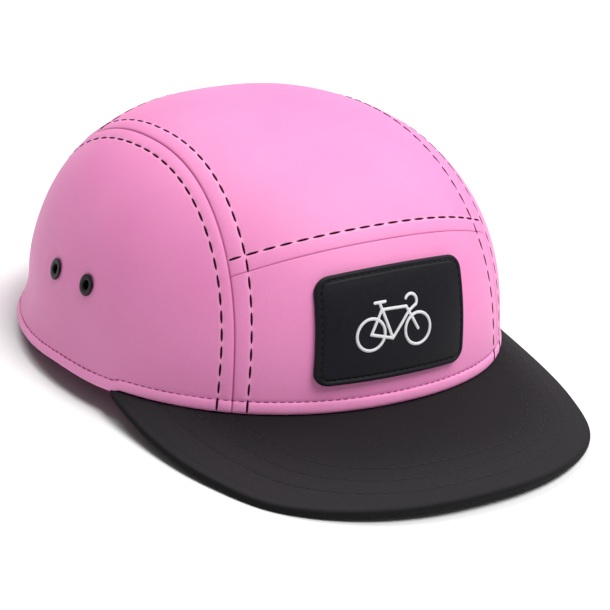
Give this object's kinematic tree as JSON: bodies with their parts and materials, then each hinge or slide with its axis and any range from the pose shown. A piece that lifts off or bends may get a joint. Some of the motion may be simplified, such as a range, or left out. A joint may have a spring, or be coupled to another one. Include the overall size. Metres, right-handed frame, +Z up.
{
  "type": "five-panel cap",
  "caption": "Soft camp cap with a flat stiff peak, a rounded front patch with a bicycle sign, side eyelets and a strap across the back arch.",
  "frame": {"origin": "middle of the cap's footprint on the surface that it rests on", "axes": "+Z up, the peak points towards -Y, the wearer's right side is towards -X; at rest the head opening's plane leans back 4.8 degrees about X"},
  "size_m": [0.1834, 0.246, 0.0986],
  "materials": {
    "pink_cloth": "matt woven nylon",
    "black_cloth": "matt twill",
    "black_leather": "smooth, slightly satin",
    "pale_print": "matt raised print",
    "dark_metal": "dark enamel, slightly glossy",
    "black_webbing": "matt woven webbing",
    "black_plastic": "fine-grained"
  },
  "bodies": {
    "root": {"front_panel": "pink_cloth", "top_panel": "pink_cloth", "back_panel": "pink_cloth", "side_panel_right": "pink_cloth", "side_panel_left": "pink_cloth", "peak": "black_cloth", "patch": "black_leather", "patch_sign": "pale_print", "eyelet_right_front": "dark_metal", "eyelet_right_back": "dark_metal", "eyelet_left_front": "dark_metal", "eyelet_left_back": "dark_metal", "back_strap": "black_webbing", "strap_clasp": "black_plastic"}
  },
  "joints": []
}
